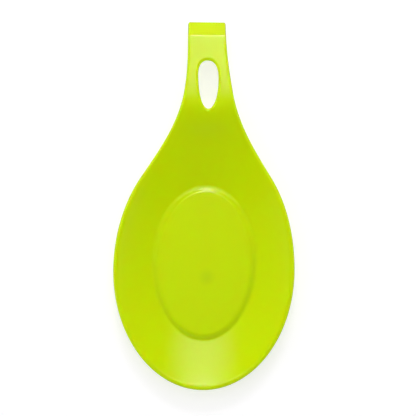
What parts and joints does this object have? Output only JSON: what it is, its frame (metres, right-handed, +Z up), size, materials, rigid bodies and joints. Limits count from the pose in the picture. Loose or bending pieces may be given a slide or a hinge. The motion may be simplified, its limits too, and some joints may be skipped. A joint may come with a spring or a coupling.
{
  "type": "spoon rest",
  "caption": "One-piece silicone spoon rest: oval bowl with a raised floor, a rising neck, and a flat handle with a hanging hole and a turned-down lip.",
  "frame": {"origin": "middle of the length and width, in the plane of the foot ring, where the object stands", "axes": "+Y along the length, from the bowl to the handle's tip; +Z up; +X to the right across the bowl, seen from above with the handle away"},
  "size_m": [0.096, 0.195, 0.0218],
  "materials": {
    "silicone": "satin"
  },
  "bodies": {
    "root": {"spoon_rest": "silicone"}
  },
  "joints": []
}
